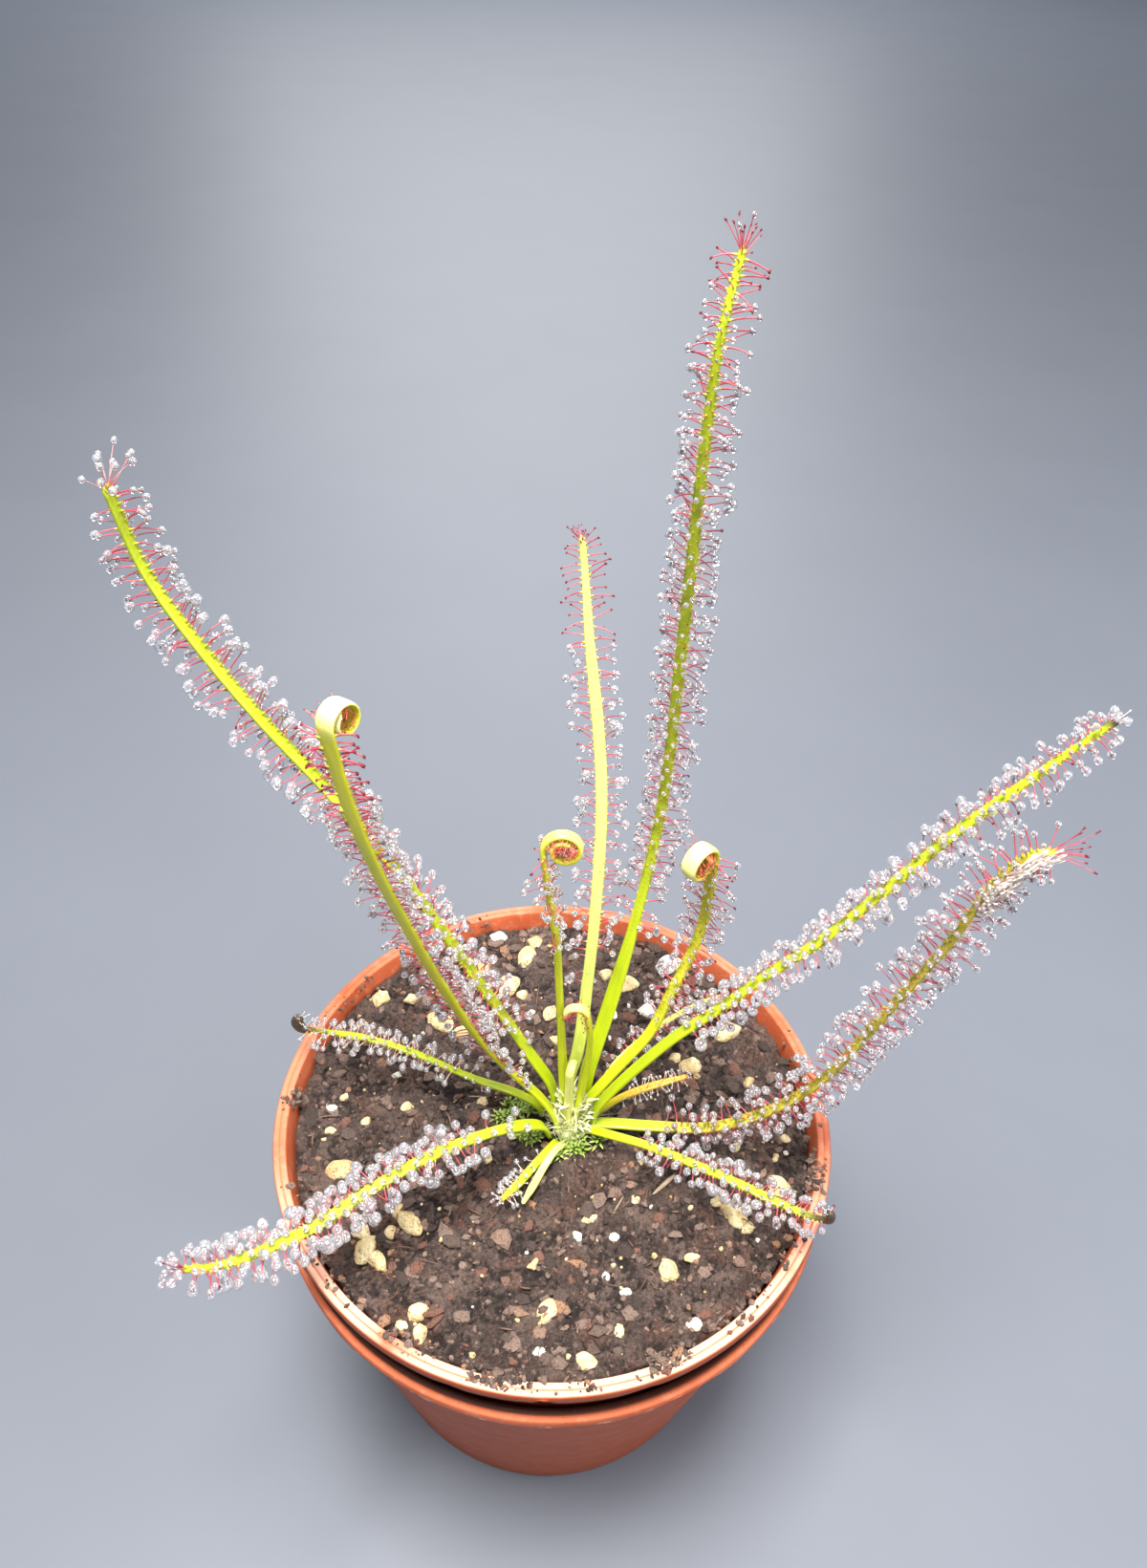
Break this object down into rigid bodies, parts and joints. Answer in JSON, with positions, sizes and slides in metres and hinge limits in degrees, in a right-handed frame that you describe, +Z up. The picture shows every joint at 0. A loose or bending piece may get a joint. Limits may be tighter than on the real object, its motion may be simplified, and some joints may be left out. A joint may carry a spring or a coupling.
{
  "type": "sundew plant in a nursery pot",
  "caption": "Narrow-leaved sundew with sticky red tentacles on its arching leaves, growing in peat in a thin plastic pot nested in a second pot.",
  "frame": {"origin": "middle of the outer pot's base, on the surface it stands on", "axes": "+Z up, -Y towards the side that the low long leaf and the small front leaf lie on, +X to the side of the two long right-hand leaves"},
  "size_m": [0.125, 0.09, 0.2003],
  "materials": {
    "pot_plastic": "satin moulded terracotta-coloured plastic with dust and fine scratches",
    "peat": "moist dark peat with fibres, bark bits and cream pumice grains",
    "crown_scales": "dry papery whitish-green scales",
    "leaf_green": "smooth moist yellow-green leaf skin with red stalks and clear sticky drops",
    "leaf_pale": "withered pale yellow leaf skin",
    "leaf_orange": "yellow-orange leaf skin with red stalks and clear sticky drops"
  },
  "bodies": {
    "root": {"outer_pot": "pot_plastic", "inner_pot": "pot_plastic", "soil": "peat", "crown": "crown_scales", "leaf_left_tall": "leaf_green", "leaf_left_inner": "leaf_green", "leaf_tallest": "leaf_green", "leaf_back": "leaf_green", "leaf_young_left": "leaf_green", "leaf_young_right": "leaf_green", "leaf_right_long": "leaf_green", "leaf_right_arched": "leaf_green", "leaf_right_low": "leaf_green", "leaf_front_long": "leaf_green", "leaf_left_low": "leaf_green", "leaf_front_small": "leaf_green", "leaf_front_withered": "leaf_pale", "leaf_right_small": "leaf_orange", "leaf_right_thin": "leaf_orange", "leaf_young_centre": "leaf_green", "leaf_bud": "leaf_green"}
  },
  "joints": []
}
